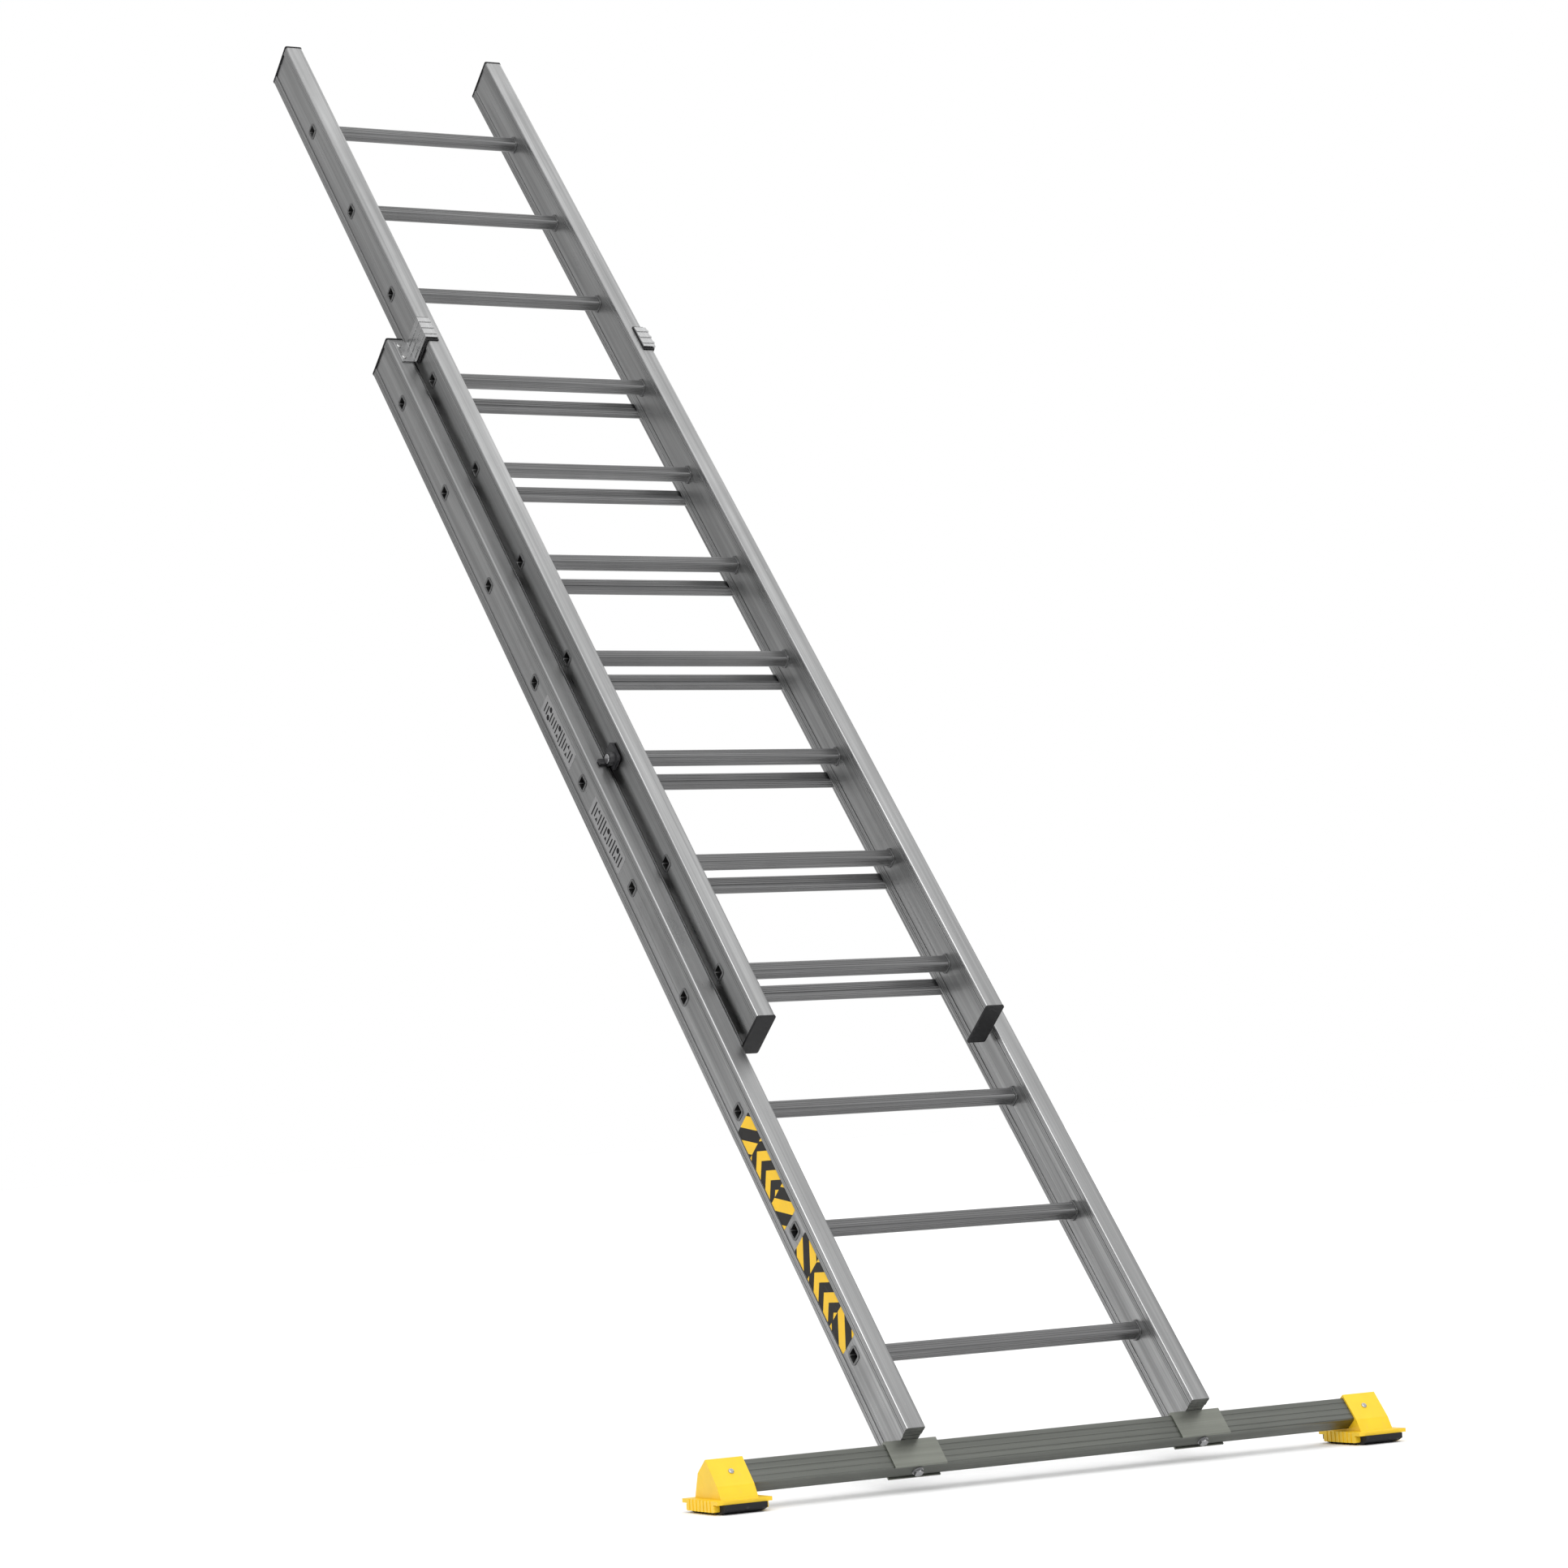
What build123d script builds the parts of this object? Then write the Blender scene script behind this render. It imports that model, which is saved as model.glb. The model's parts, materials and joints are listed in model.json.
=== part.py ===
from build123d import *
import os

# Two-section aluminium push-up ladder, leaning at its working angle with its feet flat on the floor.
# The origin is on the floor under the lower ends of the stiles, halfway across; +X is the climber's right,
# the climber stands on the -Y side, and the ladder leans back towards +Y. All sizes in millimetres.

# Overall layout
LEAN = 50  # degrees between the stiles and the floor
PITCH = 250  # rung spacing along the stiles
RUNG_COUNT = 10  # rungs in each section
EXTENSION = 3  # the fly section is raised by this many rungs
CLEAR_WIDTH = 490  # between the base stiles
FOOT_HEIGHT = 68  # lower end of the stiles above the floor

# Stiles: box extrusions with a sunk panel along both wide faces
STILE_DEPTH = 88
STILE_THICKNESS = 34
STILE_CORNER = 3
FLANGE_WALL = 2
PANEL_WIDTH = 52
OUTER_PANEL_SINK = 1.6
INNER_PANEL_SINK = 1.0
PANEL_WALL = 2.1
LINE_GROOVE = 1.2  # width of the fine grooves beside the panels
LINE_GROOVE_SINK = 0.7
LINE_GROOVE_PLACE = 34  # from the middle of the stile

# Rungs: ribbed square tubes swaged over both walls of each stile
RUNG = 22
RUNG_CORNER = 4
RUNG_WALL = 2
RIB_GROOVE = 1.4
RIB_GROOVE_SINK = 0.6
RIB_GROOVE_SPACING = 4
COLLAR = 28
COLLAR_CORNER = 7
COLLAR_LENGTH = 2.2
LIP = 26
LIP_THICKNESS = 1.2

# Lengths of stile beyond the outermost rungs
BASE_BELOW = 175
BASE_ABOVE = 132
FLY_BELOW = 137
FLY_ABOVE = 215

# The fly runs between the base stiles and just in front of the base rungs
SIDE_STEP = 43  # each fly stile sits this far inboard of its base stile
SLIDE_GAP = 3
FLY_FORWARD = STILE_DEPTH / 2 + RUNG / 2 + SLIDE_GAP

# End caps
CAP_THICKNESS = 3.5
CAP_OVERHANG = 0.8
CAP_PLUG = 14
CAP_ROUND = 1.2

# Guide brackets at the top of the base section
GUIDE_ABOVE = 66  # lower edge above the top base rung
GUIDE_LENGTH = 56
GUIDE_PLATE = 3
GUIDE_FOOT = 25  # how far it laps onto the base stile's front
GUIDE_GRIP = 20  # how far it laps onto the fly stile's front
GUIDE_RIB = 1.2
GUIDE_RIB_WIDTH = 5
GUIDE_RIB_SPACING = 17
LINER = 1.6
LINER_GAP = 0.4
LINER_OVERLAP = 5
RIVET_HEAD = 4.6
RIVET_DOME = 2.4
RIVET_SHANK = 2.4
RIVET_SPACING = 32

# Glide pads low on the fly, between the two stiles
GLIDE_LENGTH = 80
GLIDE_WIDTH = 13
GLIDE_GAP = 0.5
GLIDE_BELOW = 105  # lower end below the lowest fly rung
GLIDE_FRONT = 31  # front edge measured from the base stile's middle

# Rung hooks on the third fly rung
HOOK_RUNG = 2
HOOK_START = 0.6  # gap between the fly stile and the hook plate
HOOK_PLATE = 5.2
HOOK_SEAT_GAP = 0.4
HOOK_TOP = 25
HOOK_NOSE_GAP = 2.5
HOOK_NOSE = 8.5
HOOK_NOSE_DROP = 6
HOOK_REAR = 13
HOOK_FRONT = 18
HOOK_LOW = 17
HOOK_ROUND = 6
HOOK_NOSE_ROUND = 3
HOOK_BOSS = 12
HOOK_BOSS_LENGTH = 8
TAB_REACH = 12.4
TAB_THICKNESS = 4
TAB_LENGTH = 20
TAB_LOW = 3
TAB_HIGH = 9
PIN_RADIUS = 5
PIN_CLEARANCE = 0.05
PIN_HEAD = 8
PIN_HEAD_LENGTH = 2
PIN_PLUG = 20

# Stabiliser bar under the stiles
BAR_LENGTH = 1220
BAR_DEPTH = 26
BAR_HEIGHT = 44
BAR_WALL = 2.5
BAR_CORNER = 3
BAR_GROOVE = 2
BAR_GROOVE_SINK = 0.7
BAR_GROOVE_SPACING = 11
SADDLE_LENGTH = 92
SADDLE_PLATE = 3
SADDLE_DROP = 2
BOLT_RADIUS = 4
BOLT_HOLE = 4.3
BOLT_HEAD_FLATS = 13
BOLT_HEAD_HEIGHT = 5.3
WASHER_RADIUS = 9
WASHER_THICKNESS = 1.6
INSERT_HEIGHT = 32
BOLT_GRIP = 24  # length of bolt in the insert

# Feet at the ends of the bar
FOOT_SLEEVE = 58
FOOT_WALL = 3
FOOT_END_WALL = 5
FOOT_WIDTH = 92
FOOT_LENGTH = 116
FOOT_BASE = 15  # top of the rubber above the floor
SOLE_WIDTH = 72
SOLE_FLAT = 64
SOLE_RISE = 7
TREAD_GROOVE = 3
TREAD_SINK = 2
TREAD_COUNT = 7
CHEEK_LOW = 4
CHEEK_LENGTH = 84
CHEEK_RIB_COUNT = 8
CHEEK_RIB_SINK = 1.2

# Labels on the outer face of the left base stile
LABEL_WIDTH = 48
LABEL_THICKNESS = 0.3
HAZARD_LABEL_LENGTH = 206
INFO_LABEL_LENGTH = 150
INFO_LABEL_WIDTH = 40

UP = Vector(0, 1, 0).rotate(Axis.X, LEAN)  # along the stiles
FRONT = Vector(0, 0, 1).rotate(Axis.X, LEAN)  # out of the ladder, towards the climber
RIGHT = Vector(1, 0, 0)

BASE_INNER = CLEAR_WIDTH / 2
BASE_OUTER = BASE_INNER + STILE_THICKNESS
FLY_INNER = BASE_INNER - SIDE_STEP
FLY_OUTER = FLY_INNER + STILE_THICKNESS
BASE_LENGTH = BASE_BELOW + (RUNG_COUNT - 1) * PITCH + BASE_ABOVE
FLY_LENGTH = FLY_BELOW + (RUNG_COUNT - 1) * PITCH + FLY_ABOVE
FLY_FIRST_RUNG = BASE_BELOW + EXTENSION * PITCH
FLY_BOTTOM = FLY_FIRST_RUNG - FLY_BELOW
HOOK_LEVEL = FLY_FIRST_RUNG + HOOK_RUNG * PITCH
HOOK_FACE = FLY_OUTER + HOOK_START
BAR_MIDDLE = -SADDLE_PLATE - BAR_HEIGHT / 2
STILE_CENTRE = BASE_INNER + STILE_THICKNESS / 2


def place(right, up, front):
    """The point this far right of the middle, up the stiles and in front of the base rungs."""
    return Vector(0, 0, FOOT_HEIGHT) + RIGHT * right + UP * up + FRONT * front


def side_plane(right, up=0, front=0):
    """Looks across the ladder: local x runs up the stiles, y to the front, z to the right."""
    return Plane(place(right, up, front), x_dir=UP, z_dir=RIGHT)


def end_plane(right, up, front=0):
    """Looks down the stiles: local x runs to the front, y to the right, z up the stiles."""
    return Plane(place(right, up, front), x_dir=FRONT, z_dir=UP)


def front_plane(right, up, front):
    """Looks at the ladder's front: local x runs to the right, y up the stiles, z to the front."""
    return Plane(place(right, up, front), x_dir=RIGHT, z_dir=FRONT)


def save(part, node):
    part.label = node
    export_step(part, f"parts/{node}.step")


def save_pair(right_part, node):
    """Saves a right-hand piece and its mirror image."""
    with BuildPart() as left_part:
        add(right_part)
        mirror(about=Plane.YZ, mode=Mode.REPLACE)
    save(left_part.part, f"{node}_left")
    save(right_part, f"{node}_right")


def both_sides(right_part):
    """A right-hand piece and its mirror image as separate solids of one group."""
    with BuildPart() as pair:
        add(right_part)
        mirror(about=Plane.YZ)
    return pair.part


def stile_profile():
    """Box section: local x across the depth, y from the inner face to the outer face."""
    with BuildSketch() as profile:
        with Locations((0, STILE_THICKNESS / 2)):
            RectangleRounded(STILE_DEPTH, STILE_THICKNESS, STILE_CORNER)
        with Locations((0, STILE_THICKNESS)):
            Rectangle(PANEL_WIDTH, 2 * OUTER_PANEL_SINK, mode=Mode.SUBTRACT)
        Rectangle(PANEL_WIDTH, 2 * INNER_PANEL_SINK, mode=Mode.SUBTRACT)
        for face in (0, STILE_THICKNESS):
            with Locations((-LINE_GROOVE_PLACE, face), (LINE_GROOVE_PLACE, face)):
                Rectangle(LINE_GROOVE, 2 * LINE_GROOVE_SINK, mode=Mode.SUBTRACT)
        low = INNER_PANEL_SINK + PANEL_WALL
        high = STILE_THICKNESS - OUTER_PANEL_SINK - PANEL_WALL
        with Locations((0, (low + high) / 2)):
            Rectangle(STILE_DEPTH - 2 * FLANGE_WALL, high - low, mode=Mode.SUBTRACT)
    return profile.sketch


def stile(inner, bottom, length, first_rung, front):
    """A right-hand stile with a square hole at each rung."""
    with BuildPart() as rail:
        with BuildSketch(end_plane(inner, bottom, front)):
            add(stile_profile())
        extrude(amount=length)
        with BuildSketch(side_plane(inner, first_rung, front)):
            with Locations(*[(PITCH * n, 0) for n in range(RUNG_COUNT)]):
                RectangleRounded(RUNG, RUNG, RUNG_CORNER)
        extrude(amount=STILE_THICKNESS, mode=Mode.SUBTRACT)
    return rail.part


def base_stile():
    """The right-hand base stile, drilled for the guide bracket's rivets."""
    with BuildPart() as rail:
        add(stile(BASE_INNER, 0, BASE_LENGTH, BASE_BELOW, 0))
        with BuildSketch(rivet_plane(STILE_DEPTH / 2)):
            with GridLocations(0, RIVET_SPACING, 1, 2):
                Circle(RIVET_SHANK)
        extrude(amount=-FLANGE_WALL, mode=Mode.SUBTRACT)
    return rail.part


def rung(up, front, half_width):
    """A ribbed tube with a collar inside each stile and a lip outside it."""
    end = half_width + STILE_THICKNESS - OUTER_PANEL_SINK + LIP_THICKNESS
    with BuildPart() as tube:
        with BuildSketch(side_plane(-end, up, front)):
            RectangleRounded(RUNG, RUNG, RUNG_CORNER)
            for side in range(4):
                with Locations(Rotation(0, 0, 90 * side)):
                    with Locations((RUNG / 2, -RIB_GROOVE_SPACING), (RUNG / 2, 0), (RUNG / 2, RIB_GROOVE_SPACING)):
                        Rectangle(2 * RIB_GROOVE_SINK, RIB_GROOVE, mode=Mode.SUBTRACT)
        extrude(amount=2 * end)
        collar_start = half_width + INNER_PANEL_SINK
        for start in (-collar_start, collar_start - COLLAR_LENGTH - INNER_PANEL_SINK):
            with BuildSketch(side_plane(start, up, front)):
                RectangleRounded(COLLAR, COLLAR, COLLAR_CORNER)
            extrude(amount=COLLAR_LENGTH + INNER_PANEL_SINK)
        for start in (-end, end - LIP_THICKNESS):
            with BuildSketch(side_plane(start, up, front)):
                RectangleRounded(LIP, LIP, COLLAR_CORNER)
            extrude(amount=LIP_THICKNESS)
        with BuildSketch(side_plane(-end, up, front)):
            inside = RUNG - 2 * RUNG_WALL
            RectangleRounded(inside, inside, RUNG_CORNER - RUNG_WALL)
        extrude(amount=2 * end, mode=Mode.SUBTRACT)
    return tube.part


def end_cap(inner, up, front, outwards):
    """A plastic cap on a right-hand stile's end; outwards is 1 at the top and -1 at the bottom."""
    with BuildPart() as cap:
        with BuildSketch(end_plane(inner + STILE_THICKNESS / 2, up, front)):
            RectangleRounded(
                STILE_DEPTH + 2 * CAP_OVERHANG, STILE_THICKNESS + 2 * CAP_OVERHANG, STILE_CORNER + CAP_OVERHANG
            )
        extrude(amount=outwards * CAP_THICKNESS)
        outer_face = cap.faces().sort_by(Axis(place(0, 0, 0), UP * outwards))[-1]
        fillet(outer_face.edges(), CAP_ROUND)
        low = INNER_PANEL_SINK + PANEL_WALL
        high = STILE_THICKNESS - OUTER_PANEL_SINK - PANEL_WALL
        with BuildSketch(end_plane(inner + (low + high) / 2, up, front)):
            Rectangle(STILE_DEPTH - 2 * FLANGE_WALL, high - low)
        extrude(amount=-outwards * CAP_PLUG)
    return cap.part


def rivet_plane(front):
    """The face that holds the right-hand guide bracket's rivets."""
    guide_middle = BASE_LENGTH - BASE_ABOVE + GUIDE_ABOVE + GUIDE_LENGTH / 2
    return front_plane(STILE_CENTRE, guide_middle, front)


def guide_profile(extra=0):
    """Angle that laps onto the base stile's front and wraps the fly stile's outer and front faces."""
    base_face = STILE_DEPTH / 2
    side = FLY_OUTER + LINER_GAP + LINER
    nose = FLY_FORWARD + STILE_DEPTH / 2 + LINER_GAP + LINER
    grip = FLY_OUTER - GUIDE_GRIP
    with BuildSketch() as profile:
        with BuildLine():
            Polyline(
                (base_face, BASE_INNER + GUIDE_FOOT - 1),
                (base_face, side),
                (nose, side),
                (nose, grip),
                (nose + GUIDE_PLATE + extra, grip),
                (nose + GUIDE_PLATE + extra, side + GUIDE_PLATE + extra),
                (base_face + GUIDE_PLATE, side + GUIDE_PLATE + extra),
                (base_face + GUIDE_PLATE, BASE_INNER + GUIDE_FOOT - 1),
                close=True,
            )
        make_face()
    return profile.sketch


def guide_bracket():
    """A ribbed metal bracket riveted to the right-hand base stile."""
    lower_edge = BASE_LENGTH - BASE_ABOVE + GUIDE_ABOVE
    with BuildPart() as bracket:
        with BuildSketch(end_plane(0, lower_edge)):
            add(guide_profile())
        extrude(amount=GUIDE_LENGTH)
        for row in (-1, 0, 1):
            rib_start = lower_edge + GUIDE_LENGTH / 2 + row * GUIDE_RIB_SPACING - GUIDE_RIB_WIDTH / 2
            with BuildSketch(end_plane(0, rib_start)):
                add(guide_profile(GUIDE_RIB))
            extrude(amount=GUIDE_RIB_WIDTH)
        with BuildSketch(rivet_plane(STILE_DEPTH / 2)):
            with GridLocations(0, RIVET_SPACING, 1, 2):
                Circle(RIVET_SHANK)
        extrude(amount=GUIDE_PLATE, mode=Mode.SUBTRACT)
    return bracket.part


def guide_liner():
    """A plastic angle between the right-hand bracket and the fly stile."""
    inner_side = FLY_OUTER + LINER_GAP
    inner_front = FLY_FORWARD + STILE_DEPTH / 2 + LINER_GAP
    rear = STILE_DEPTH / 2
    grip = FLY_OUTER - GUIDE_GRIP - 1
    with BuildPart() as liner:
        lower_edge = BASE_LENGTH - BASE_ABOVE + GUIDE_ABOVE - LINER_OVERLAP
        with BuildSketch(end_plane(0, lower_edge)):
            with BuildLine():
                Polyline(
                    (rear, inner_side),
                    (inner_front, inner_side),
                    (inner_front, grip),
                    (inner_front + LINER, grip),
                    (inner_front + LINER, inner_side + LINER),
                    (rear, inner_side + LINER),
                    close=True,
                )
            make_face()
        extrude(amount=GUIDE_LENGTH + 2 * LINER_OVERLAP)
    return liner.part


def dome_rivet(plane, grip):
    """One rivet: a domed head on the plane and a shank that reaches grip below it."""
    with BuildPart() as rivet:
        with BuildSketch(plane):
            Circle(RIVET_HEAD)
        extrude(amount=RIVET_DOME)
        fillet(rivet.faces().sort_by(Axis(plane.origin, plane.z_dir))[-1].edges(), RIVET_DOME * 0.8)
        with BuildSketch(plane):
            Circle(RIVET_SHANK)
        extrude(amount=-grip)
    return rivet.part


def guide_rivets():
    """Two rivets through each bracket's foot."""
    middle = rivet_plane(STILE_DEPTH / 2 + GUIDE_PLATE)
    with BuildPart() as rivets:
        for row in (-1, 1):
            plane = Plane(middle.origin + UP * (row * RIVET_SPACING / 2), x_dir=RIGHT, z_dir=FRONT)
            add(dome_rivet(plane, GUIDE_PLATE + FLANGE_WALL))
    return rivets.part


def glide_pad():
    """A plastic pad on the fly stile that runs against the base stile's inner face."""
    up = FLY_FIRST_RUNG - GLIDE_BELOW
    thickness = BASE_INNER - FLY_OUTER - GLIDE_GAP
    with BuildPart() as pad:
        with BuildSketch(side_plane(FLY_OUTER, up + GLIDE_LENGTH / 2, GLIDE_FRONT - GLIDE_WIDTH / 2)):
            RectangleRounded(GLIDE_LENGTH, GLIDE_WIDTH, GLIDE_WIDTH / 4)
        extrude(amount=thickness)
        chamfer(pad.faces().sort_by(Axis.X)[-1].edges(), 1.5)
    return pad.part


def hook():
    """The right-hand rung hook: its arm lies over the base rung and its nose drops behind it."""
    seat = RUNG / 2 + HOOK_SEAT_GAP
    nose_front = -FLY_FORWARD - RUNG / 2 - HOOK_NOSE_GAP
    nose_back = nose_front - HOOK_NOSE
    with BuildPart() as latch:
        with BuildSketch(side_plane(HOOK_FACE, HOOK_LEVEL, FLY_FORWARD)) as outline:
            with BuildLine():
                Polyline(
                    (-HOOK_LOW, HOOK_FRONT),
                    (HOOK_TOP, HOOK_FRONT),
                    (HOOK_TOP, nose_back),
                    (-HOOK_NOSE_DROP, nose_back),
                    (-HOOK_NOSE_DROP, nose_front),
                    (seat, nose_front),
                    (seat, -2 * HOOK_REAR),
                    (0, -HOOK_REAR),
                    (-HOOK_LOW, -HOOK_REAR),
                    close=True,
                )
            make_face()
            for up, front in (
                (HOOK_TOP, HOOK_FRONT),
                (HOOK_TOP, nose_back),
                (-HOOK_LOW, HOOK_FRONT),
                (-HOOK_LOW, -HOOK_REAR),
            ):
                fillet(outline.vertices().sort_by_distance((up, front, 0))[0], HOOK_ROUND)
            nose_tip = outline.vertices().sort_by_distance((-HOOK_NOSE_DROP, nose_back, 0))[0]
            fillet(nose_tip, HOOK_NOSE_ROUND)
        extrude(amount=HOOK_PLATE)
        with BuildSketch(side_plane(HOOK_FACE + HOOK_PLATE, HOOK_LEVEL, FLY_FORWARD)):
            Circle(HOOK_BOSS)
        extrude(amount=HOOK_BOSS_LENGTH)
        with BuildSketch(side_plane(HOOK_FACE + HOOK_PLATE, HOOK_LEVEL, FLY_FORWARD)):
            with Locations(((TAB_HIGH - TAB_LOW) / 2, TAB_THICKNESS / 2 - TAB_REACH)):
                Rectangle(TAB_HIGH + TAB_LOW, TAB_THICKNESS)
        extrude(amount=TAB_LENGTH)
        with BuildSketch(side_plane(HOOK_FACE, HOOK_LEVEL, FLY_FORWARD)):
            Circle(PIN_RADIUS + PIN_CLEARANCE)
        extrude(amount=HOOK_PLATE + HOOK_BOSS_LENGTH, mode=Mode.SUBTRACT)
    return latch.part


def hook_pin():
    """A plug in the end of the third fly rung with the journal that its hook turns on."""
    plug_end = FLY_OUTER - OUTER_PANEL_SINK + LIP_THICKNESS
    head_start = HOOK_FACE + HOOK_PLATE + HOOK_BOSS_LENGTH + HOOK_SEAT_GAP
    with BuildPart() as pin:
        with BuildSketch(side_plane(plug_end - PIN_PLUG, HOOK_LEVEL, FLY_FORWARD)):
            inside = RUNG - 2 * RUNG_WALL
            RectangleRounded(inside, inside, RUNG_CORNER - RUNG_WALL)
        extrude(amount=PIN_PLUG)
        with BuildSketch(side_plane(plug_end, HOOK_LEVEL, FLY_FORWARD)):
            Circle(PIN_RADIUS)
        extrude(amount=head_start - plug_end)
        with BuildSketch(side_plane(head_start, HOOK_LEVEL, FLY_FORWARD)):
            Circle(PIN_HEAD)
        extrude(amount=PIN_HEAD_LENGTH)
        chamfer(pin.faces().sort_by(Axis.X)[-1].edges(), 0.8)
    return pin.part


def stabiliser_bar():
    """A rectangular tube with fine grooves on its front and back, drilled for the stile bolts."""
    with BuildPart() as bar:
        with BuildSketch(side_plane(-BAR_LENGTH / 2, BAR_MIDDLE)):
            RectangleRounded(BAR_HEIGHT, BAR_DEPTH, BAR_CORNER)
            for face in (-BAR_DEPTH / 2, BAR_DEPTH / 2):
                with Locations((-BAR_GROOVE_SPACING, face), (0, face), (BAR_GROOVE_SPACING, face)):
                    Rectangle(BAR_GROOVE, 2 * BAR_GROOVE_SINK, mode=Mode.SUBTRACT)
            Rectangle(BAR_HEIGHT - 2 * BAR_WALL, BAR_DEPTH - 2 * BAR_WALL, mode=Mode.SUBTRACT)
        extrude(amount=BAR_LENGTH)
        with BuildSketch(end_plane(0, BAR_MIDDLE - BAR_HEIGHT / 2)):
            with Locations((0, -STILE_CENTRE), (0, STILE_CENTRE)):
                Circle(BOLT_HOLE)
        extrude(amount=BAR_HEIGHT, mode=Mode.SUBTRACT)
    return bar.part


def saddle():
    """A U-shaped saddle over the bar that carries the right-hand stile."""
    depth = BAR_DEPTH + 2 * SADDLE_PLATE
    with BuildPart() as channel:
        start = STILE_CENTRE - SADDLE_LENGTH / 2
        height = SADDLE_PLATE + BAR_HEIGHT + SADDLE_DROP
        with BuildSketch(side_plane(start, -height / 2)):
            RectangleRounded(height, depth, 1)
        extrude(amount=SADDLE_LENGTH)
        with BuildSketch(side_plane(start, -SADDLE_PLATE - height / 2)):
            Rectangle(height, BAR_DEPTH)
        extrude(amount=SADDLE_LENGTH, mode=Mode.SUBTRACT)
        with BuildSketch(end_plane(STILE_CENTRE, -SADDLE_PLATE)):
            Circle(BOLT_HOLE)
        extrude(amount=SADDLE_PLATE, mode=Mode.SUBTRACT)
    return channel.part


def stile_insert():
    """A block inside the right-hand stile's lower end that takes the stabiliser bolt."""
    low = INNER_PANEL_SINK + PANEL_WALL
    high = STILE_THICKNESS - OUTER_PANEL_SINK - PANEL_WALL
    with BuildPart() as block:
        with BuildSketch(end_plane(BASE_INNER + (low + high) / 2, 0)):
            Rectangle(STILE_DEPTH - 2 * FLANGE_WALL, high - low)
        extrude(amount=INSERT_HEIGHT)
        with BuildSketch(end_plane(STILE_CENTRE, 0)):
            Circle(BOLT_RADIUS)
        extrude(amount=BOLT_GRIP, mode=Mode.SUBTRACT)
    return block.part


def bolt():
    """A hexagon bolt from under the bar up into the right-hand stile."""
    under = BAR_MIDDLE - BAR_HEIGHT / 2 - WASHER_THICKNESS
    with BuildPart() as screw:
        with BuildSketch(end_plane(STILE_CENTRE, under)):
            Circle(BOLT_RADIUS)
        extrude(amount=BOLT_GRIP - under)
        with BuildSketch(end_plane(STILE_CENTRE, under - BOLT_HEAD_HEIGHT)):
            RegularPolygon(BOLT_HEAD_FLATS / 2, 6, major_radius=False)
        extrude(amount=BOLT_HEAD_HEIGHT)
    return screw.part


def washer():
    """The washer under the right-hand bolt's head."""
    with BuildPart() as ring:
        with BuildSketch(end_plane(STILE_CENTRE, BAR_MIDDLE - BAR_HEIGHT / 2 - WASHER_THICKNESS)):
            Circle(WASHER_RADIUS)
            Circle(BOLT_HOLE, mode=Mode.SUBTRACT)
        extrude(amount=WASHER_THICKNESS)
    return ring.part


def foot_outline():
    """The socket's top back, top front and low front corners, seen from the ladder's side."""
    half_height = BAR_HEIGHT / 2 + FOOT_WALL
    half_depth = BAR_DEPTH / 2 + FOOT_WALL
    corners = [
        place(0, BAR_MIDDLE + up * half_height, front * half_depth)
        for up, front in ((1, -1), (1, 1), (-1, 1))
    ]
    return [(corner.Y, corner.Z) for corner in corners]


def floor_side_plane(right):
    """Looks across the ladder with the floor level: local x to the back, y up, z to the right."""
    return Plane((right, 0, 0), x_dir=(0, 1, 0), z_dir=(1, 0, 0))


def foot_centre():
    """How far back the bar's middle is, measured along the floor."""
    return place(0, BAR_MIDDLE, 0).Y


def foot_cap():
    """The right-hand foot: a socket over the bar's end on a level base with two ribbed cheeks."""
    outer_end = BAR_LENGTH / 2 + FOOT_END_WALL
    inner_end = outer_end - FOOT_END_WALL - FOOT_SLEEVE
    middle = foot_centre()
    top_back, top_front, low_front = foot_outline()
    width = outer_end - inner_end
    cheek = (FOOT_WIDTH - SOLE_WIDTH) / 2
    cheek_start = (outer_end + inner_end) / 2 - FOOT_WIDTH / 2
    with BuildPart() as foot:
        with BuildSketch(floor_side_plane(inner_end)):
            with BuildLine():
                Polyline(
                    (middle - CHEEK_LENGTH / 2, FOOT_BASE),
                    low_front,
                    top_front,
                    top_back,
                    (middle + CHEEK_LENGTH / 2, FOOT_BASE),
                    close=True,
                )
            make_face()
        extrude(amount=width)
        with BuildSketch(floor_side_plane(cheek_start)):
            with Locations((middle, FOOT_BASE + 3)):
                Rectangle(FOOT_LENGTH - 8, 6)
        extrude(amount=FOOT_WIDTH)
        for start in (cheek_start, cheek_start + FOOT_WIDTH - cheek):
            with BuildSketch(floor_side_plane(start)):
                with Locations((middle, (FOOT_BASE + CHEEK_LOW) / 2)):
                    RectangleRounded(CHEEK_LENGTH, FOOT_BASE - CHEEK_LOW, 3)
            extrude(amount=cheek)
        rib_pitch = CHEEK_LENGTH / CHEEK_RIB_COUNT
        for face in (cheek_start, cheek_start + FOOT_WIDTH - CHEEK_RIB_SINK):
            with BuildSketch(floor_side_plane(face)):
                with Locations((middle, (FOOT_BASE + CHEEK_LOW) / 2)):
                    with GridLocations(rib_pitch, 0, CHEEK_RIB_COUNT - 1, 1):
                        Rectangle(rib_pitch / 3, 2 * FOOT_BASE)
            extrude(amount=CHEEK_RIB_SINK, mode=Mode.SUBTRACT)
        with BuildSketch(side_plane(inner_end, BAR_MIDDLE)):
            RectangleRounded(BAR_HEIGHT, BAR_DEPTH, BAR_CORNER)
        extrude(amount=FOOT_SLEEVE, mode=Mode.SUBTRACT)
        with BuildSketch(foot_rivet_plane(BAR_DEPTH / 2)):
            Circle(RIVET_SHANK)
        extrude(amount=FOOT_WALL, mode=Mode.SUBTRACT)
    return foot.part


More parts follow.
